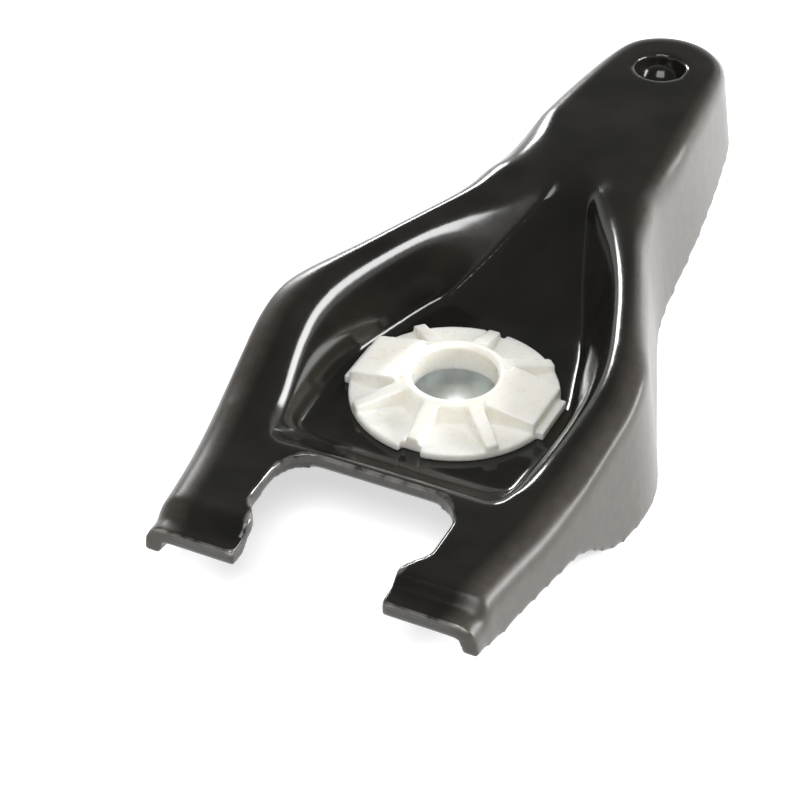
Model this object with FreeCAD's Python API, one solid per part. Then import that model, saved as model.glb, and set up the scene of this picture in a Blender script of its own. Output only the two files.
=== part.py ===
"""Clutch fork: a pressed steel lever that straddles a release bearing.

One pressed sheet makes the whole lever: two prongs with bearing pads, a deep
dished body round the pivot, a long ramp up to the neck and a channel arm.  A
nylon ball socket bush sits in the dish over a zinc plated pivot cup, and both
are held in the round hole in the floor of the dish.

Frame: millimetres, +Z up, +Y from the prongs to the end of the arm, +X to the
right.  The origin is on the pivot axis, halfway up the straight bore of the ball
socket.  Heights below are named from the edge that the lever rests on, and the
finished pieces are lowered together to put the socket at the origin.
"""
import FreeCAD, Part
import math
import os

V = FreeCAD.Vector

# ---------------------------------------------------------------- driving sizes
SHEET = 3.5                 # thickness of the pressed sheet
PRONG_TOP = 18.0            # height of the upper face of the prongs
ARM_TOP = 30.8              # height of the upper face of the body rim and arm
FLOOR_TOP = 12.5            # height of the dish floor that carries the bush
TIP_Y = 66.5                # pivot axis to the front edge of the prongs
ARM_Y = 132.0               # pivot axis to the far end of the arm

BODY_WIDE = 82.0            # widest width over the bends of the body
TIP_WIDE = 65.0             # width over the bends at the prong tips
NECK_WIDE = 37.0            # width over the bends at the neck
ARM_END_WIDE = 29.0         # width over the bends near the end of the arm

FLOOR_WIDE = 49.6           # widest width of the flat dish floor
FLOOR_FRONT = 26.0          # pivot axis to the front edge of the dish floor
RAMP_START = 29.0           # pivot axis to the foot of the ramp
RAMP_PITCH = 24.4           # degrees that the ramp climbs
RIM_LAND = 8.8              # width of the rim between the dish and the side flange

SLOT_WIDE = 38.6            # width of the slot between the prongs
SLOT_BACK = 36.8            # pivot axis to the back edge of the slot
SLOT_CORNER = 7.5           # corner radius at the back of the slot
PAD_GAP = 31.4              # gap between the two bearing pads

RIM_BEND = 4.5              # outside bend radius along the rim
DRAFT = 8.0                 # degrees that the side flange leans outward
TIP_FLANGE = 10.5           # depth of the side flange along the prongs

BUSH_WIDE = 44.0            # diameter of the bush flange
BUSH_TALL = 6.3             # floor to the top of the bush hub
EAR_WIDE = 12.0             # width of the two square ears of the bush flange
BALL_BORE = 18.0            # diameter of the socket mouth in the bush
SPIGOT_WIDE = 25.0          # diameter of the bush spigot in the floor hole
MOUTH_LEAD = 0.8            # lead-in chamfer at the socket mouth
CUP_WALL = 1.2              # thickness of the pivot cup

CLEAR = 0.05                # running gap left between separate pieces

# --------------------------------------------------------------- derived sizes
CLIMB_START = -SLOT_BACK - 14.0     # the rim starts to climb beside the slot
CLIMB_END = 18.0                    # and is level with the arm behind the pivot
PLATE_LOW = -12.0                   # forms run below the resting edge, then are trimmed
STEP_Y = -TIP_Y + 7.6               # the prongs step down in front of this line
STEP_RUN = 4.4                      # length of the step
COIN = 0.05                         # depth of the flats coined on the prongs
STEP_DROP = 2.6                     # height of the step
HOLE_R = SPIGOT_WIDE / 2 + CLEAR    # hole in the dish floor
FOOT_R = 2.4                        # inside radius at the foot of the dish walls
CORNER_R = 5.0                      # inside radius of the two front corners of the dish
SHOULDER_R = SHEET + 0.5            # outside radius where the dish meets the rim
REST_END = 48.0                     # the lower edge starts to rise here
ARM_RISE = 11.0                     # and ends this high under the arm
BUSH_HUB_R = BALL_BORE / 2 + 2.6    # outside radius of the bush hub
CUP_OUT_R = SPIGOT_WIDE / 2 - 1.4   # outside radius of the cup flange
SOCKET_MID = FLOOR_TOP + (CLEAR + BUSH_TALL - MOUTH_LEAD) / 2


def deg(a):
    return math.radians(a)


def spline(points):
    """Smooth curve through the points."""
    curve = Part.BSplineCurve()
    curve.interpolate(Points=points)
    return curve.toShape()


def side_block(points, half):
    """Block with the closed YZ outline, spanning -half to +half in X."""
    ring = [V(-half, y, z) for y, z in points]
    face = Part.Face(Part.makePolygon(ring + [ring[0]]))
    return face.extrude(V(2 * half, 0, 0))


# ------------------------------------------------------- side view of the press
def ease(u):
    """Smooth step from 0 to 1 with no curvature at either end."""
    u = min(max(u, 0.0), 1.0)
    return u * u * u * (10.0 - 15.0 * u + 6.0 * u * u)


def top_height(y):
    """Height of the upper face: flat prongs, a climb beside the dish, a flat arm."""
    return PRONG_TOP + (ARM_TOP - PRONG_TOP) * ease((y - CLIMB_START) / (CLIMB_END - CLIMB_START))


def top_slope(y):
    return (top_height(y + 0.01) - top_height(y - 0.01)) / 0.02


def under_profile_block(drop, half):
    """Everything below the top face moved in by drop, from -half to +half in X."""
    first = -TIP_Y - 20.0
    last = ARM_Y + 20.0
    count = 44
    pts = []
    for i in range(count + 1):
        y = first + (last - first) * i / count
        normal = V(0, -top_slope(y), 1).normalize()
        pts.append(V(0, y, top_height(y)) - normal * drop)
    low = PLATE_LOW - 8.0
    chain = [spline(pts),
             Part.makeLine(pts[-1], V(0, pts[-1].y, low)),
             Part.makeLine(V(0, pts[-1].y, low), V(0, pts[0].y, low)),
             Part.makeLine(V(0, pts[0].y, low), pts[0])]
    face = Part.Face(Part.Wire(chain))
    face.translate(V(-half, 0, 0))
    return face.extrude(V(2 * half, 0, 0))


# ------------------------------------------------------- plan view of the press
def plan_stations():
    """Half widths over the bends, from the prong tips to the end of the arm."""
    body = BODY_WIDE / 2
    tip = TIP_WIDE / 2
    neck = NECK_WIDE / 2
    end = ARM_END_WIDE / 2
    return [(-TIP_Y - 4.0, tip - 0.5), (-48.0, tip + 1.9), (-30.0, tip + 4.9),
            (-14.0, body - 1.1), (-4.0, body - 0.1), (4.0, body - 1.1),
            (14.0, body - 4.9), (28.0, body - 10.4), (42.0, body - 15.8),
            (56.0, neck + 1.9), (70.0, neck + 0.2), (88.0, neck - 0.7),
            (ARM_Y - end, end)]


def mirrored_outline(right):
    """Closed outline: one smooth curve round the right half and its mirror, a front line."""
    left = [V(-p.x, p.y, p.z) for p in reversed(right[:-1])]
    return Part.Wire([spline(right + left), Part.makeLine(left[-1], right[0])])


def plan_wire(grow, z):
    """Outline of the press at height z, moved outward by grow; the arm end is round."""
    right = [V(x + grow, y, z) for y, x in plan_stations()]
    end = right[-1]
    for a in (30, 60, 90):
        right.append(V(end.x * math.cos(deg(a)), end.y + end.x * math.sin(deg(a)), z))
    return mirrored_outline(right)


def body_form(inset):
    """Drafted solid of the press, shrunk by inset on the top and on the sides."""
    high = ARM_TOP + 6.0
    lean = math.tan(deg(DRAFT))
    side = inset / math.cos(deg(DRAFT))
    upper = plan_wire(-side - (high - ARM_TOP) * lean, high)
    lower = plan_wire(-side + (ARM_TOP - PLATE_LOW) * lean, PLATE_LOW)
    slug = Part.makeLoft([lower, upper], True, True)
    form = slug.common(under_profile_block(inset, BODY_WIDE))
    bends = []
    for edge in form.Edges:
        spots = edge.discretize(7)
        on_top = all(abs(p.z - top_height(p.y)) < inset + 0.5 for p in spots)
        straight_front = all(abs(p.y - spots[0].y) < 0.1 for p in spots)
        if on_top and not straight_front:
            bends.append(edge)
    return form.makeFillet(RIM_BEND - inset, bends)


# ------------------------------------------------------------- dish and ramp
def floor_stations():
    """Half widths of the dish at floor level, front corner to the apex."""
    wide = FLOOR_WIDE / 2
    return [(-FLOOR_FRONT, wide - 1.2), (-13.0, wide), (0.5, wide), (14.0, wide - 3.2),
            (RAMP_START - 0.5, wide - 8.0), (RAMP_START + 9.0, wide - 15.2),
            (RAMP_START + 16.0, wide - 21.4), (RAMP_START + 18.0, 0.0)]


def mouth_stations():
    """Half widths of the dish at the level of the arm, in step with the floor."""
    wide = BODY_WIDE / 2 - RIM_LAND
    reach = (ARM_TOP - FLOOR_TOP) * 1.53
    return [(-FLOOR_FRONT - reach, wide - 1.6), (-24.0, wide + 0.2), (1.0, wide + 0.2),
            (14.0, wide - 3.8), (RAMP_START + 0.5, wide - 9.4), (RAMP_START + 18.0, wide - 17.2),
            (RAMP_START + 33.0, wide - 26.0), (RAMP_START + 39.0, 0.0)]


def dish_wire(z, grow):
    """Outline of the dish at height z, moved outward by grow along its normals."""
    k = (z - FLOOR_TOP) / (ARM_TOP - FLOOR_TOP)
    pts = []
    for (yf, xf), (ym, xm) in zip(floor_stations(), mouth_stations()):
        pts.append(V(xf + (xm - xf) * k, yf + (ym - yf) * k, z))
    out = []
    for i, p in enumerate(pts):
        before = pts[max(i - 1, 0)]
        after = pts[i + 1] if i + 1 < len(pts) else V(-before.x, before.y, z)
        run = after - before
        out.append(p + V(run.y, -run.x, 0).normalize() * grow)
    first = pts[1] - pts[0]
    out[0] = pts[0] + V(first.y, -first.x, 0).normalize() * grow
    out[0].y = pts[0].y - grow
    out[-1].x = 0.0
    return mirrored_outline(out)


def dish_form(grow):
    """Solid that fills the dish, thickened by grow on the floor, ramp and walls."""
    wall = math.atan2(ARM_TOP - FLOOR_TOP, 7.6)
    across = grow / math.sin(wall)
    low = FLOOR_TOP - grow
    high = ARM_TOP + 4.0
    bowl = Part.makeLoft([dish_wire(low, across), dish_wire(high, across)], True, True)
    rise = math.tan(deg(RAMP_PITCH))
    foot = FLOOR_TOP - grow / math.cos(deg(RAMP_PITCH))
    y_foot = RAMP_START + (low - 2.0 - foot) / rise
    ramp = side_block([(y_foot, low - 2.0), (y_foot + 60.0, low - 2.0 + 60.0 * rise),
                       (y_foot + 60.0, low - 2.0)], BODY_WIDE)
    return bowl.cut(ramp)


def dish_fillets(form, foot, corner):
    """Round the foot of the walls and the two front corners of the dish solid."""
    corners = []
    feet = []
    for edge in form.Edges:
        ends = [v.Point for v in edge.Vertexes]
        if len(ends) < 2:
            continue
        a, b = ends[0], ends[-1]
        if abs(a.z - b.z) > 10.0 and min(a.y, b.y) < -FLOOR_FRONT - 5.0 and abs(a.x) > 5.0:
            corners.append(edge)
    form = form.makeFillet(corner, corners)
    low = min(v.Z for v in form.Vertexes)
    for edge in form.Edges:
        pts = edge.discretize(5)
        if all(abs(p.z - low) < 0.01 for p in pts) and pts[2].y < RAMP_START - 2.0:
            feet.append(edge)
    return form.makeFillet(foot, feet)


def mouth_edges(form, drop):
    """Edges where the dish breaks through the upper face."""
    found = []
    for edge in form.Edges:
        spots = edge.discretize(7)[1:-1]
        on_top = all(abs(p.z - top_height(p.y)) < drop + 0.7 for p in spots)
        inside = all(abs(p.x) < BODY_WIDE / 2 - RIM_LAND + drop + 1.0 for p in spots)
        away = all(-SLOT_BACK - drop - 6.0 < p.y < ARM_Y - 30.0 for p in spots)
        if on_top and inside and away:
            found.append(edge)
    return found


def lever_sheet():
    """The pressed sheet before trimming: the upper form less the lower form."""
    upper = body_form(0.0).cut(dish_fillets(dish_form(0.0), FOOT_R, CORNER_R))
    upper = upper.makeFillet(SHOULDER_R, mouth_edges(upper, 0.0))
    lower = body_form(SHEET).cut(dish_fillets(dish_form(SHEET), FOOT_R + SHEET, CORNER_R + SHEET))
    lower = lower.makeFillet(SHOULDER_R - SHEET, mouth_edges(lower, SHEET))
    return skin_between(upper, lower)


def skin_between(upper, lower):
    """Solid between two nested forms that share a flat bottom and a flat front."""
    front_y = -TIP_Y - 4.0
    skins = []
    ends = []
    for form in (upper, lower):
        flat = []
        for face in form.Faces:
            spots = face.OuterWire.discretize(12)
            bottom = all(abs(p.z - PLATE_LOW) < 0.001 for p in spots)
            front = all(abs(p.y - front_y) < 0.001 for p in spots)
            if bottom or front:
                flat.append(face)
            else:
                skins.append(face)
        ends.append(Part.Compound(flat))
    shell = Part.Compound(skins + ends[0].cut(ends[1]).Faces)
    shell.sewShape()
    return Part.Solid(shell.Shells[0])


# ------------------------------------------------------------------- trimming
def flange_trim():
    """Waste below the side flange: shallow on the prongs, deep round the dish."""
    prong = PRONG_TOP - TIP_FLANGE
    low = PLATE_LOW - 10.0
    start = V(0, -TIP_Y - 20.0, prong)
    bend0 = V(0, -FLOOR_FRONT - 7.0, prong)
    bend1 = V(0, -FLOOR_FRONT + 13.0, 0)
    rest = V(0, REST_END, 0)
    end = V(0, ARM_Y + 20.0, ARM_RISE)
    half = (bend1.y - bend0.y) * 0.45
    swing = Part.BezierCurve()
    swing.setPoles([bend0, bend0 + V(0, half, 0), bend1 - V(0, half, 0), bend1])
    lift = Part.BezierCurve()
    lift.setPoles([rest, rest + V(0, 30.0, 0), end - V(0, 40.0, 0.5), end])
    chain = [line(start, bend0), swing.toShape(), line(bend1, rest), lift.toShape(),
             line(end, V(0, end.y, low)), line(V(0, end.y, low), V(0, start.y, low)),
             line(V(0, start.y, low), start)]
    face = Part.Face(Part.Wire(chain))
    face.translate(V(-BODY_WIDE, 0, 0))
    return face.extrude(V(2 * BODY_WIDE, 0, 0))


def line(a, b):
    return Part.makeLine(a, b)


def slot_cutter():
    """Plan shape of the slot: rounded back corners, straight sides, bulging pads."""
    wide = SLOT_WIDE / 2
    pad = PAD_GAP / 2
    back = -SLOT_BACK
    r = SLOT_CORNER
    swing0 = -TIP_Y + 15.5
    swing1 = -TIP_Y + 6.0
    flare = 3.2
    front = -TIP_Y
    z = PLATE_LOW - 15.0
    k = math.sqrt(0.5)
    p0 = V(0, back, z)
    p1 = V(wide - r, back, z)
    p2 = V(wide, back - r, z)
    m12 = V(wide - r + r * k, back - r + r * k, z)
    p3 = V(wide, swing0, z)
    p4 = V(pad, swing1, z)
    p5 = V(pad, front + flare, z)
    p6 = V(pad + flare, front, z)
    m56 = V(pad + flare - flare * k, front + flare - flare * k, z)
    p7 = V(pad + flare, front - 20.0, z)
    p8 = V(0, front - 20.0, z)
    swing = Part.BezierCurve()
    swing.setPoles([p3, V(wide, (2 * swing1 + swing0) / 3 + 1.6, z), V(pad, swing0 - 3.6, z), p4])
    half = [line(p0, p1), Part.Arc(p1, m12, p2).toShape(), line(p2, p3), swing.toShape(),
            line(p4, p5), Part.Arc(p5, m56, p6).toShape(), line(p6, p7), line(p7, p8)]
    other = [e.mirror(V(0, 0, 0), V(1, 0, 0)) for e in half]
    wire = Part.Wire(Part.__sortEdges__(half + other))
    return Part.Face(wire).extrude(V(0, 0, 80))


def stepped_tips(sheet):
    """Cut the prongs at the step line and carry their section down and forward."""
    far = 60.0
    keep = box(-far, far, STEP_Y, ARM_Y + far, PLATE_LOW - 20.0, ARM_TOP + far)
    body = sheet.common(keep)
    ends = []
    for face in body.Faces:
        c = face.CenterOfMass
        if abs(c.y - STEP_Y) < 0.001 and abs(face.normalAt(0, 0).y) > 0.99:
            ends.append(face)
    lip = -TIP_Y - (STEP_Y - STEP_RUN)
    pieces = [body]
    for face in ends:
        ring = face.OuterWire
        curve = [ring.translated(V(0, -STEP_RUN * i / 6, -STEP_DROP * ease(i / 6))) for i in range(7)]
        step = Part.makeLoft(curve, True, False)
        nose = face.translated(V(0, -STEP_RUN, -STEP_DROP)).extrude(V(0, lip, 0))
        pieces += [step, nose]
    whole = pieces[0].multiFuse(pieces[1:])
    low = PRONG_TOP - TIP_FLANGE
    nick = Part.BezierCurve()
    start = V(0, STEP_Y + 3.5, low)
    end = V(0, -TIP_Y - 1.0, low + 1.5)
    nick.setPoles([start, start - V(0, 4.0, 0), end + V(0, 4.0, 0), end])
    base = low - 20.0
    waste = Part.Face(Part.Wire([nick.toShape(), line(end, V(0, end.y, base)),
                                 line(V(0, end.y, base), V(0, start.y, base)),
                                 line(V(0, start.y, base), start)]))
    waste.translate(V(-far, 0, 0))
    return whole.cut(waste.extrude(V(2 * far, 0, 0)))


def box(x0, x1, y0, y1, z0, z1):
    return Part.makeBox(abs(x1 - x0), y1 - y0, z1 - z0, V(min(x0, x1), y0, z0))


def rod_seat():
    """Round dimple pressed into the arm near its end, for the push rod."""
    y = ARM_Y - 17.0
    ball = 6.0
    dip = 3.0
    centre = V(0, y, ARM_TOP - SHEET - dip + ball)
    return centre, ball


def coined_flats():
    """Shallow flats on the prongs, where the release bearing rests."""
    inner = PAD_GAP / 2 + 1.5
    outer = TIP_WIDE / 2 - RIM_BEND - 2.0
    back = -SLOT_BACK - 15.0
    flats = [box(side * inner, side * outer, STEP_Y + 0.8, back, PRONG_TOP - COIN, ARM_TOP)
             for side in (1, -1)]
    return flats[0].fuse(flats[1])


def fork_lever():
    """The whole lever: one pressed sheet, slotted, trimmed, stepped and pierced."""
    sheet = lever_sheet()
    centre, ball = rod_seat()
    sheet = sheet.fuse(Part.makeSphere(ball + SHEET, centre).common(
        box(-20, 20, centre.y - 20, centre.y + 20, 0, ARM_TOP - SHEET * 0.5)))
    sheet = sheet.cut(Part.makeSphere(ball, centre))
    sheet = sheet.cut(flange_trim())
    sheet = sheet.cut(slot_cutter())
    sheet = stepped_tips(sheet).cut(coined_flats())
    hole = Part.makeCylinder(HOLE_R, 40.0, V(0, 0, FLOOR_TOP - 30.0))
    return sheet.cut(hole)


# ------------------------------------------------------------------- the bush
def revolve(points):
    """Solid of revolution about the pivot axis from (radius, height) corners."""
    ring = [V(r, 0, z) for r, z in points]
    face = Part.Face(Part.makePolygon(ring + [ring[0]]))
    return face.revolve(V(0, 0, 0), V(0, 0, 1), 360)


def rib(width, reach, tip_high, angle):
    """Tapered web from the hub to the flange edge, its top falling outward."""
    base = FLOOR_TOP + CLEAR
    hub = BUSH_HUB_R
    top = FLOOR_TOP + BUSH_TALL - 0.05
    out = base + tip_high
    inner = [V(hub - 1.5, -width / 2 - 0.4, base), V(hub - 1.5, width / 2 + 0.4, base),
             V(hub - 1.5, width / 2 + 0.1, top), V(hub - 1.5, -width / 2 - 0.1, top)]
    outer = [V(reach, -width / 2, base), V(reach, width / 2, base),
             V(reach, width / 2 - 0.3, out), V(reach, -width / 2 + 0.3, out)]
    web = Part.makeLoft([Part.makePolygon(inner + [inner[0]]),
                         Part.makePolygon(outer + [outer[0]])], True, True)
    web.rotate(V(0, 0, 0), V(0, 0, 1), angle)
    return web


def ball_socket_bush():
    """Nylon bush: hub with the ball socket, flange, eight webs and a snap spigot."""
    base = FLOOR_TOP + CLEAR
    top = FLOOR_TOP + BUSH_TALL
    edge = BUSH_WIDE / 2
    thick = 1.9
    bore = BALL_BORE / 2
    hub = BUSH_HUB_R
    lead = MOUTH_LEAD
    under = FLOOR_TOP - SHEET - CLEAR
    spigot = SPIGOT_WIDE / 2
    body = revolve([(bore - 2.0, base), (edge, base), (edge, base + thick - 0.4),
                    (edge - 0.4, base + thick), (hub + 0.9, base + thick), (hub, top - 1.1),
                    (hub - 0.35, top - 0.35), (hub - 1.1, top), (bore - 2.0, top)])
    webs = [rib(3.2, edge - 1.6, thick + 1.3, a) for a in (90, 270)]
    webs += [rib(3.2, edge - 0.1, thick + 1.3, a) for a in (45, 135, 225, 315)]
    webs += [rib(EAR_WIDE + 2.5, edge - 1.1, thick + 2.4, a) for a in (0, 180)]
    ears = box(-edge - 0.5, edge + 0.5, -EAR_WIDE / 2, EAR_WIDE / 2, base, base + thick)
    body = body.multiFuse(webs + [ears])
    for a in (90, 270):
        notch = box(edge - 1.6, edge + 5.0, -2.3, 2.3, base - 1.0, top)
        notch.rotate(V(0, 0, 0), V(0, 0, 1), a)
        body = body.cut(notch)
    seat = CUP_OUT_R + CLEAR
    spout = revolve([(seat - 1.0, base + 0.5), (spigot, base + 0.5), (spigot, under),
                     (spigot + 0.7, under - 0.5), (spigot + 0.7, under - 1.0),
                     (spigot - 0.4, under - 2.4), (seat - 1.0, under - 2.4)])
    body = body.fuse(spout)
    body = body.cut(revolve([(0, base - 20.0), (seat - 0.55, base - 20.0),
                             (seat - 0.55, base - CUP_WALL - CLEAR), (seat, base - CUP_WALL - CLEAR),
                             (seat, base), (bore, base), (bore, top - lead),
                             (bore + lead, top + 0.001), (bore + lead, top + 5.0), (0, top + 5.0)]))
    for a in (45, 135):
        slit = box(-40, 40, -0.8, 0.8, base - 12.0, FLOOR_TOP - 1.8)
        slit.rotate(V(0, 0, 0), V(0, 0, 1), a)
        body = body.cut(slit)
    return body.removeSplitter()


# ------------------------------------------------------------------ pivot cup
def pivot_cup():
    """Plated steel cup: a half ball seat with a short flange that the bush traps."""
    ball = CUP_OUT_R - 0.6 - CUP_WALL
    z = FLOOR_TOP - CUP_WALL / 2
    rim = revolve([(ball - 0.2, FLOOR_TOP - CUP_WALL), (CUP_OUT_R, FLOOR_TOP - CUP_WALL),
                   (CUP_OUT_R, FLOOR_TOP), (ball - 0.2, FLOOR_TOP)])
    bowl = Part.makeSphere(ball + CUP_WALL, V(0, 0, z)).common(
        box(-20, 20, -20, 20, -20, FLOOR_TOP - CUP_WALL / 2))
    cup = bowl.fuse(rim)
    cup = cup.cut(Part.makeSphere(ball, V(0, 0, z)))
    return cup.cut(Part.makeCylinder(ball, 10.0, V(0, 0, z)))


def main():
    os.makedirs("parts", exist_ok=True)
    for name, make in (("fork_lever", fork_lever), ("ball_socket_bush", ball_socket_bush),
                       ("pivot_cup", pivot_cup)):
        shape = make()
        if shape.ShapeType == "Compound" and len(shape.Solids) == 1:
            shape = shape.Solids[0]
        print(name, shape.isValid(), len(shape.Solids), round(shape.Volume))
        shape.translate(V(0, 0, -SOCKET_MID))
        shape.exportStep("parts/" + name + ".step")


main()
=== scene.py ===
import bpy
import bmesh
import math
import numpy as np
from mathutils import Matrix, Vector
from mathutils.bvhtree import BVHTree
from mathutils.kdtree import KDTree


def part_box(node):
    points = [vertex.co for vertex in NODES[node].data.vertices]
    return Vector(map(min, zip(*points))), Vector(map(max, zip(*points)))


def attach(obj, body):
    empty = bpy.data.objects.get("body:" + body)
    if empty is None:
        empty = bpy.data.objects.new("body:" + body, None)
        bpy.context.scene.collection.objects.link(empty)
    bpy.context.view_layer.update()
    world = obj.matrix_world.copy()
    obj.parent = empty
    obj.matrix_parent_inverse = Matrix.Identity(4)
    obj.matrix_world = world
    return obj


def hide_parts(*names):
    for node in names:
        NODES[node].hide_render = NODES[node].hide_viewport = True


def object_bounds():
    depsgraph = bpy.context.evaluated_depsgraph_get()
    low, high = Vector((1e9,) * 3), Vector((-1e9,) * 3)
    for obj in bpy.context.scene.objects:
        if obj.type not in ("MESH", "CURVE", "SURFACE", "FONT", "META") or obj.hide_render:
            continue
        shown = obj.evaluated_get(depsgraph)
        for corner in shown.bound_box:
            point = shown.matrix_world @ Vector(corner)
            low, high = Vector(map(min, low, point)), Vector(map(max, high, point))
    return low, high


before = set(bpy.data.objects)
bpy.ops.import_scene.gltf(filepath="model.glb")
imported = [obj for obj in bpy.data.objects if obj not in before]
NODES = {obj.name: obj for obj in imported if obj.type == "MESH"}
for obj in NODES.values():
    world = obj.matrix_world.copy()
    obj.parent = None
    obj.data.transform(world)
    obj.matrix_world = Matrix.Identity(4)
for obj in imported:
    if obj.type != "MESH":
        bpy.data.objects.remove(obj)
cad_low, cad_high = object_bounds()
MM = 0.001

# the lever, in millimetres from the pivot
SLOT_SIDE = 19.7             # a little outside the side walls of the slot
SLOT_BACK = -36.2            # a little behind the back wall of the slot
FRONT = -66.0                # a little behind the front ends of the tips
TIP_START = -61.5            # from here forward the tips lie lower
PRONG_TOP = 2.8
TIP_DROP = 2.6
NOSE_CENTRE = 117.5
RAMP_START = 29.0
RAMP_SLOPE_DEG = 24.4
BUSH_CLEAR = 24.5            # the floor within this radius carries the bush
HUB_OVER_FLOOR = 6.3
RIM = np.array([(-66, 31.5), (-30, 36.6), (-6, 39.7), (6, 38.2), (24, 32.5),
                (48, 23.7), (60, 20.0), (90, 17.5), (115, 16.0)])     # place along the lever, half width

# the grids of small faces, in millimetres
LEVER_GRID = 0.76
BUSH_GRID = 0.3
LINE_STEP = 0.12

DISH_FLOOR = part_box("ball_socket_bush")[1].z - HUB_OVER_FLOOR * MM


# ---- colours and nodes -------------------------------------------------------

def colour(text):
    """An sRGB hex colour as linear red, green, blue and alpha."""
    parts = [int(text[i:i + 2], 16) / 255 for i in (1, 3, 5)]
    linear = [c / 12.92 if c <= 0.04045 else ((c + 0.055) / 1.055) ** 2.4 for c in parts]
    return (*linear, 1.0)


def add(tree, kind, inputs=None, **settings):
    """Adds a node with its settings; a value in inputs is set, and a socket is linked."""
    node = tree.nodes.new(kind)
    for name, value in settings.items():
        setattr(node, name, value)
    for key, value in (inputs or {}).items():
        socket = node.inputs[key]
        if isinstance(value, bpy.types.NodeSocket):
            tree.links.new(value, socket)
        else:
            socket.default_value = value
    return node


def new_material(name):
    """An empty node material with its output and principled shader."""
    material = bpy.data.materials.new(name)
    material.use_nodes = True
    tree = material.node_tree
    tree.nodes.clear()
    shader = tree.nodes.new("ShaderNodeBsdfPrincipled")
    output = tree.nodes.new("ShaderNodeOutputMaterial")
    tree.links.new(shader.outputs[0], output.inputs["Surface"])
    return material, tree, shader


def maths(tree, operation, a, b=0.0, clamp=False):
    """One arithmetic step between sockets or numbers."""
    return add(tree, "ShaderNodeMath", {0: a, 1: b}, operation=operation, use_clamp=clamp).outputs[0]


def product(tree, first, *others):
    """Sockets or numbers multiplied together."""
    for other in others:
        first = maths(tree, "MULTIPLY", first, other)
    return first


def stretch(tree, value, low, high, to_low=0.0, to_high=1.0):
    """A value carried from one range to another and held at both ends."""
    return add(tree, "ShaderNodeMapRange", {"Value": value, "From Min": low, "From Max": high,
                                            "To Min": to_low, "To Max": to_high}).outputs[0]


def blend_colour(tree, factor, a, b):
    """A mix of two colours."""
    return add(tree, "ShaderNodeMix", {0: factor, 6: a, 7: b}, data_type="RGBA").outputs[2]


def clouded(tree, cloud, low, high, a, b):
    """One colour where the noise is low and another where it is high."""
    node = add(tree, "ShaderNodeValToRGB", {"Fac": cloud})
    for point, place, level in zip(node.color_ramp.elements, (low, high), (0.0, 1.0)):
        point.position = place
        point.color = (level, level, level, 1.0)
    return blend_colour(tree, node.outputs["Color"], colour(a), colour(b))


def noise(tree, place, size_mm, detail=3.0):
    """Noise whose lumps are about size_mm across."""
    return add(tree, "ShaderNodeTexNoise",
               {"Vector": place, "Scale": 1.0 / (size_mm * MM), "Detail": detail}).outputs["Fac"]


def object_place(tree):
    """The place on the object, in its own metres."""
    return add(tree, "ShaderNodeTexCoord").outputs["Object"]


def own_value(tree, name):
    """A value that the piece carries at each point of its surface."""
    return add(tree, "ShaderNodeAttribute", attribute_name=name).outputs["Fac"]


def bumped(tree, height, strength, depth_mm, under=None):
    """A surface direction bent by a height, over another one where under is given."""
    inputs = {"Height": height, "Strength": strength, "Distance": depth_mm * MM}
    if under is not None:
        inputs["Normal"] = under
    return add(tree, "ShaderNodeBump", inputs).outputs[0]


# ---- the three finishes ------------------------------------------------------

def sheared_edges(tree, place):
    """Where the sheet was sheared: all of that zone, its upright walls, and the depth below the top."""
    parts = add(tree, "ShaderNodeSeparateXYZ", {0: place})
    facing = add(tree, "ShaderNodeSeparateXYZ", {0: add(tree, "ShaderNodeNewGeometry").outputs["Normal"]})
    upright = maths(tree, "LESS_THAN", maths(tree, "ABSOLUTE", facing.outputs["Z"]), 0.4)
    across = maths(tree, "ABSOLUTE", parts.outputs["X"])
    in_slot = product(tree, maths(tree, "LESS_THAN", across, SLOT_SIDE * MM),
                      maths(tree, "LESS_THAN", parts.outputs["Y"], SLOT_BACK * MM))
    front = maths(tree, "LESS_THAN", parts.outputs["Y"], FRONT * MM)
    zone = maths(tree, "MAXIMUM", in_slot, front)
    on_tip = maths(tree, "LESS_THAN", parts.outputs["Y"], TIP_START * MM)
    top = maths(tree, "SUBTRACT", PRONG_TOP * MM, product(tree, on_tip, TIP_DROP * MM))
    return zone, product(tree, upright, zone), maths(tree, "SUBTRACT", top, parts.outputs["Z"])


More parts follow.
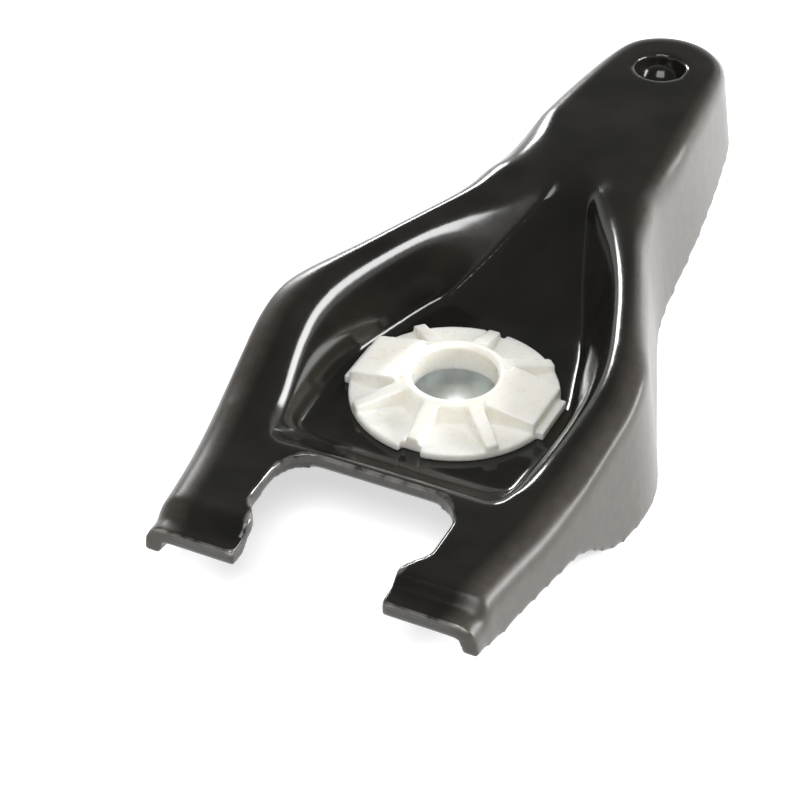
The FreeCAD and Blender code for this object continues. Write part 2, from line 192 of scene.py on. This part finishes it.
def black_enamel():
    """Pressed steel sheet under a dipped black baked enamel.

    The enamel is thick and glossy, so it shows soft broad highlights with a very slight waviness,
    and it is thin along the sheared edges, where the bare sheet shows through as a grey line.
    """
    material, tree, shader = new_material("black_enamel_on_pressed_steel")
    place = object_place(tree)
    zone, wall, depth = sheared_edges(tree, place)
    flank = own_value(tree, "flank")
    speck = noise(tree, place, 0.9)
    patch = noise(tree, place, 2.6, 4.0)

    # enamel, painted a lighter brownish grey in patches on the side flange: a painted sheen standing for the
    # pale floor that the flange reflects
    tint = clouded(tree, noise(tree, place, 14.0, 2.0), 0.35, 0.7, "#171613", "#22201c")
    painted_flange_sheen = product(tree, flank, stretch(tree, patch, 0.25, 0.75, 0.55, 1.0))
    tint = blend_colour(tree, painted_flange_sheen, tint, colour("#443f39"))

    # the punch burnishes the upper part of a sheared wall and tears the rest
    torn = product(tree, wall, stretch(tree, speck, 0.35, 0.75, 0.0, 0.30))
    burnished = stretch(tree, depth, 1.7 * MM, 0.9 * MM)
    band = product(tree, wall, burnished, stretch(tree, patch, 0.3, 0.6, 0.25, 0.6))
    tint = blend_colour(tree, torn, tint, colour("#4a4743"))
    tint = blend_colour(tree, band, tint, colour("#4b4945"))

    # bare steel on outward edges, most of all along the top of the sheared walls
    at_top = product(tree, zone, stretch(tree, depth, 1.3 * MM, 0.6 * MM))
    edge = stretch(tree, own_value(tree, "edge"), 0.36, 0.72)
    rubbed = stretch(tree, patch, 0.30, 0.60)
    worn = product(tree, edge, rubbed, maths(tree, "ADD", 0.05, product(tree, at_top, 0.8)))
    tint = blend_colour(tree, worn, tint, colour("#aeaba4"))
    tree.links.new(tint, shader.inputs["Base Color"])
    tree.links.new(product(tree, worn, 0.7), shader.inputs["Metallic"])

    gloss = stretch(tree, speck, 0.0, 1.0, 0.10, 0.17)
    gloss = maths(tree, "ADD", gloss, product(tree, wall, 0.3), clamp=True)
    gloss = maths(tree, "ADD", gloss, product(tree, flank, 0.24), clamp=True)
    tree.links.new(gloss, shader.inputs["Roughness"])
    shader.inputs["IOR"].default_value = 1.5

    # the slow waviness of a dipped coat, and the grain of the sheared wall
    wave = bumped(tree, noise(tree, place, 8.0, 1.0), 0.15, 0.3)
    upright_place = add(tree, "ShaderNodeMapping", {"Vector": place, "Scale": (1.0, 1.0, 0.2)}).outputs[0]
    grain = product(tree, noise(tree, upright_place, 0.6), wall)
    tree.links.new(bumped(tree, grain, 0.6, 0.2, wave), shader.inputs["Normal"])
    return material


def natural_nylon():
    """Injection-moulded natural nylon 6, warm white and a little translucent, with a satin skin."""
    material, tree, shader = new_material("natural_nylon_moulded")
    place = object_place(tree)
    tint = clouded(tree, noise(tree, place, 6.0), 0.3, 0.75, "#f9f7f0", "#f1ede2")
    # painted highlight: the outward-turning moulded corners are painted a little lighter, where they catch
    # the light
    edge = stretch(tree, own_value(tree, "edge"), 0.35, 0.9)
    tint = blend_colour(tree, product(tree, edge, 0.6), tint, colour("#fbf9f3"))
    tree.links.new(tint, shader.inputs["Base Color"])
    shader.inputs["Subsurface Weight"].default_value = 0.6
    shader.inputs["Subsurface Radius"].default_value = (1.0, 0.9, 0.7)
    shader.inputs["Subsurface Scale"].default_value = 2.5 * MM
    gloss = stretch(tree, noise(tree, place, 1.2), 0.0, 1.0, 0.22, 0.36)
    tree.links.new(gloss, shader.inputs["Roughness"])
    shader.inputs["IOR"].default_value = 1.53
    tree.links.new(bumped(tree, noise(tree, place, 1.8), 0.12, 0.12), shader.inputs["Normal"])
    return material


def zinc_plate():
    """Drawn steel cup with bright zinc plating: pale grey, with fine rings from drawing and soft stains."""
    material, tree, shader = new_material("zinc_plated_drawn_steel")
    place = object_place(tree)
    tint = clouded(tree, noise(tree, place, 4.0, 4.0), 0.3, 0.7, "#e2e6e5", "#c8ccca")
    tree.links.new(tint, shader.inputs["Base Color"])
    shader.inputs["Metallic"].default_value = 1.0
    gloss = stretch(tree, noise(tree, place, 0.8), 0.0, 1.0, 0.34, 0.52)
    tree.links.new(gloss, shader.inputs["Roughness"])
    rings = add(tree, "ShaderNodeTexWave",
                {"Vector": place, "Scale": 900.0, "Distortion": 1.5, "Detail": 2.0},
                wave_type="RINGS", rings_direction="Z").outputs["Fac"]
    tree.links.new(bumped(tree, rings, 0.08, 0.05), shader.inputs["Normal"])
    return material


# ---- meshes ------------------------------------------------------------------

def welded(node, name):
    """A copy of a CAD node's mesh with its loose triangles joined."""
    mesh = NODES[node].data.copy()
    mesh.name = name
    shell = bmesh.new()
    shell.from_mesh(mesh)
    bmesh.ops.remove_doubles(shell, verts=shell.verts, dist=0.002 * MM)
    shell.to_mesh(mesh)
    shell.free()
    return mesh


def smooth_between_corners(mesh, corner_deg):
    """Smooth shading, broken along every edge that turns by corner_deg or more."""
    shell = bmesh.new()
    shell.from_mesh(mesh)
    for face in shell.faces:
        face.smooth = True
    for edge in shell.edges:
        edge.smooth = len(edge.link_faces) == 2 and edge.calc_face_angle(0.0) < math.radians(corner_deg)
    shell.to_mesh(mesh)
    shell.free()
    return mesh


def sharp_lines(mesh, sharp_deg):
    """Close points along every edge of a mesh that turns by more than sharp_deg."""
    shell = bmesh.new()
    shell.from_mesh(mesh)
    spots = []
    for edge in shell.edges:
        if len(edge.link_faces) == 2 and edge.calc_face_angle(0.0) > math.radians(sharp_deg):
            a, b = (v.co.copy() for v in edge.verts)
            steps = max(int((b - a).length / (LINE_STEP * MM)), 1)
            spots += [a.lerp(b, i / steps) for i in range(steps + 1)]
    shell.free()
    lines = KDTree(len(spots))
    for i, spot in enumerate(spots):
        lines.insert(spot, i)
    lines.balance()
    return lines


def even_mesh(mesh, grid_mm):
    """The same solid with an even grid of small faces, laid on its surface and its sharp edges."""
    maker = bpy.data.objects.new("even_grid", mesh)
    bpy.context.scene.collection.objects.link(maker)
    grid = maker.modifiers.new("grid", "REMESH")
    grid.mode = "VOXEL"
    grid.voxel_size = grid_mm * MM
    grid.adaptivity = 0.0
    bpy.context.view_layer.update()
    made = bpy.data.meshes.new_from_object(maker.evaluated_get(bpy.context.evaluated_depsgraph_get()))
    bpy.data.objects.remove(maker)
    skin = BVHTree.FromPolygons([v.co for v in mesh.vertices], [f.vertices for f in mesh.polygons])
    lines = sharp_lines(mesh, 40)
    for v in made.vertices:
        v.co = skin.find_nearest(v.co)[0]
        corner, _, away = lines.find(v.co)
        if away < 0.72 * grid_mm * MM:
            v.co = corner
    name = mesh.name
    bpy.data.meshes.remove(mesh)
    made.name = name
    return made


def points_of(mesh):
    """The places of a mesh's points, one row each."""
    flat = np.zeros(len(mesh.vertices) * 3)
    mesh.vertices.foreach_get("co", flat)
    return flat.reshape(-1, 3)


def leave_value(mesh, name, values):
    """Leaves a value at each point of a mesh, for its material to read."""
    mesh.attributes.new(name, "FLOAT", "POINT").data.foreach_set("value", values)


def relax(mesh, rounds):
    """Draws each point towards its neighbours; rounds holds (count, strength or strengths).

    It also leaves a value called edge, high where the surface turns sharply outward.
    """
    spots = points_of(mesh)
    count = len(spots)
    pairs = np.zeros(len(mesh.edges) * 2, int)
    mesh.edges.foreach_get("vertices", pairs)
    one, two = pairs[0::2], pairs[1::2]
    share = np.bincount(one, minlength=count) + np.bincount(two, minlength=count)

    def pull(values):
        total = np.stack([np.bincount(one, values[two, k], count) + np.bincount(two, values[one, k], count)
                          for k in range(values.shape[1])], 1)
        return total / share[:, None] - values

    for times, strength in rounds:
        for _ in range(times):
            amount = strength(spots) if callable(strength) else strength
            spots = spots + pull(spots) * amount
    mesh.vertices.foreach_set("co", spots.ravel())
    mesh.update()
    normals = np.zeros(count * 3)
    mesh.vertices.foreach_get("normal", normals)
    turn = -(pull(spots) * normals.reshape(-1, 3)).sum(1)[:, None]
    for _ in range(3):
        turn = turn + pull(turn) * 0.5
    sharpest = np.sqrt((pull(spots) ** 2).sum(1)).max()
    leave_value(mesh, "edge", np.clip(turn[:, 0] / (sharpest * 0.7), 0.0, 1.0))
    for face in mesh.polygons:
        face.use_smooth = True
    return mesh


# ---- the forms of the lever --------------------------------------------------

def rise(values, start_mm, width_mm):
    """0 below start, 1 past start and width, straight between; all in millimetres."""
    return np.clip((values / MM - start_mm) / width_mm, 0.0, 1.0)


def rim_line(y):
    """Half width over the outer bend of the lever at each y."""
    return np.interp(y, RIM[:, 0] * MM, RIM[:, 1] * MM)


def mark_flank(mesh):
    """Leaves a value called flank: 1 on the outer side flange, 0 on top and in the dish."""
    x, y, _ = points_of(mesh).T
    side = rise(np.abs(x) - rim_line(y), -4.5, 4.0)
    nose = rise(np.hypot(x, y - NOSE_CENTRE * MM), 12.5, 3.0) * (y > NOSE_CENTRE * MM)
    leave_value(mesh, "flank", np.maximum(side, nose))
    return mesh


def drawn_shoulder(spots):
    """How far each point of the lever may be drawn: most on the rim and the shoulder of the dish."""
    x, y, z = np.abs(spots[:, 0]), spots[:, 1], spots[:, 2]
    ramp_rise = math.tan(math.radians(RAMP_SLOPE_DEG))
    foot = DISH_FLOOR + np.maximum(y - RAMP_START * MM, 0.0) * ramp_rise
    on_top = rise(rim_line(y) - x, -1.5, 3.0)
    along = rise(y, -31.0, 6.0) * (1.0 - rise(y, 76.0, 10.0))
    above_foot = np.maximum(rise(z - foot, 1.5, 5.0), rise(y, 58.0, 8.0))
    above_foot = np.maximum(above_foot, 0.5 * rise(-y, 24.0, 2.0))
    clear_of_bush = rise(np.hypot(x, y), BUSH_CLEAR, 2.0)
    return (0.5 * on_top * along * above_foot * clear_of_bush)[:, None]


# ---- the pieces --------------------------------------------------------------

def stand_for(node, mesh, material):
    """Shows a mesh in place of a CAD node."""
    mesh.materials.clear()
    mesh.materials.append(material)
    piece = bpy.data.objects.new(mesh.name, mesh)
    bpy.context.scene.collection.objects.link(piece)
    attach(piece, "root")
    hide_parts(node)


# dipped enamel rounds the sheared edges, and the press draws the shoulder of the dish softly
lever = even_mesh(welded("fork_lever", "lever_enamelled"), LEVER_GRID)
lever = mark_flank(relax(lever, [(130, drawn_shoulder), (3, 0.5)]))
stand_for("fork_lever", lever, black_enamel())

# moulded corners of about 0.5 mm
bush = even_mesh(welded("ball_socket_bush", "bush_moulded"), BUSH_GRID)
stand_for("ball_socket_bush", relax(bush, [(5, 0.5)]), natural_nylon())

cup = smooth_between_corners(welded("pivot_cup", "cup_plated"), 38)
stand_for("pivot_cup", cup, zinc_plate())


# ---- floor, light and camera -------------------------------------------------

def pale_floor():
    """A matt white surface that stays white to the eye and in the gloss, and keeps the shadow."""
    material, tree, shader = new_material("white_table")
    shader.inputs["Base Color"].default_value = colour("#eeeeee")
    shader.inputs["Roughness"].default_value = 0.9
    shader.inputs["Specular IOR Level"].default_value = 0.0
    path = add(tree, "ShaderNodeLightPath")
    mirrored = path.outputs["Is Glossy Ray"]
    seen = maths(tree, "MAXIMUM", path.outputs["Is Camera Ray"],
                 maths(tree, "MAXIMUM", mirrored, path.outputs["Is Transmission Ray"]))
    shader.inputs["Emission Color"].default_value = (1.0, 1.0, 1.0, 1.0)
    glow = maths(tree, "ADD", product(tree, seen, 0.60), product(tree, mirrored, 0.45))
    tree.links.new(glow, shader.inputs["Emission Strength"])
    return material


def table_top(level, reach=4.0):
    """A flat square floor at the given height."""
    corners = [(-reach, -reach, level), (reach, -reach, level), (reach, reach, level), (-reach, reach, level)]
    mesh = bpy.data.meshes.new("table_top")
    mesh.from_pydata(corners, [], [(0, 1, 2, 3)])
    mesh.materials.append(pale_floor())
    floor = bpy.data.objects.new("table_top", mesh)
    bpy.context.scene.collection.objects.link(floor)


def studio():
    """A white sweep round the horizon that turns to a dim ceiling overhead."""
    world = bpy.data.worlds.new("studio")
    bpy.context.scene.world = world
    world.use_nodes = True
    tree = world.node_tree
    tree.nodes.clear()
    up = add(tree, "ShaderNodeSeparateXYZ", {0: add(tree, "ShaderNodeTexCoord").outputs["Generated"]})
    path = add(tree, "ShaderNodeLightPath")
    ceiling = stretch(tree, up.outputs["Z"], 0.22, 0.46, 1.0, 0.14)
    mirrored = maths(tree, "MAXIMUM", path.outputs["Is Glossy Ray"], path.outputs["Is Transmission Ray"])
    lighting = product(tree, maths(tree, "SUBTRACT", 1.0, mirrored), 0.32)
    level = maths(tree, "ADD", product(tree, mirrored, ceiling), lighting)
    strength = maths(tree, "MAXIMUM", path.outputs["Is Camera Ray"], level)
    light = add(tree, "ShaderNodeBackground", {"Color": (1.0, 1.0, 1.0, 1.0), "Strength": strength})
    output = add(tree, "ShaderNodeOutputWorld")
    tree.links.new(light.outputs[0], output.inputs["Surface"])


def lamp(name, way, distance, wide, tall, watts):
    """A soft box that faces the part from a direction."""
    data = bpy.data.lights.new(name, "AREA")
    data.shape = "RECTANGLE"
    data.size = wide
    data.size_y = tall
    data.energy = watts
    box = bpy.data.objects.new(name, data)
    bpy.context.scene.collection.objects.link(box)
    place = Vector(way).normalized() * distance
    box.location = place
    box.rotation_euler = (-place).to_track_quat("-Z", "Y").to_euler()
    box.visible_camera = False


def camera(place, aim, lens):
    """The camera, looking from place to aim."""
    data = bpy.data.cameras.new("camera")
    data.sensor_width = 36.0
    data.lens = lens
    data.clip_start = 0.02
    data.clip_end = 50.0
    eye = bpy.data.objects.new("camera", data)
    bpy.context.scene.collection.objects.link(eye)
    eye.location = place
    eye.rotation_euler = (Vector(aim) - eye.location).to_track_quat("-Z", "Y").to_euler()
    bpy.context.scene.camera = eye


table_top(cad_low.z)
studio()
lamp("long_box_right", (0.80, 0.45, 0.36), 0.9, 0.75, 0.24, 10.0)
lamp("strip_back_left", (-0.62, 0.70, 0.36), 0.9, 0.34, 0.12, 3.4)
lamp("big_box_front", (0.15, -0.55, 1.0), 1.1, 0.7, 0.6, 7.6)
camera((0.1690, -0.3755, 0.3119), (-0.0088, -0.0077, -0.0016), 112.5)
bpy.context.scene.view_settings.view_transform = "Standard"
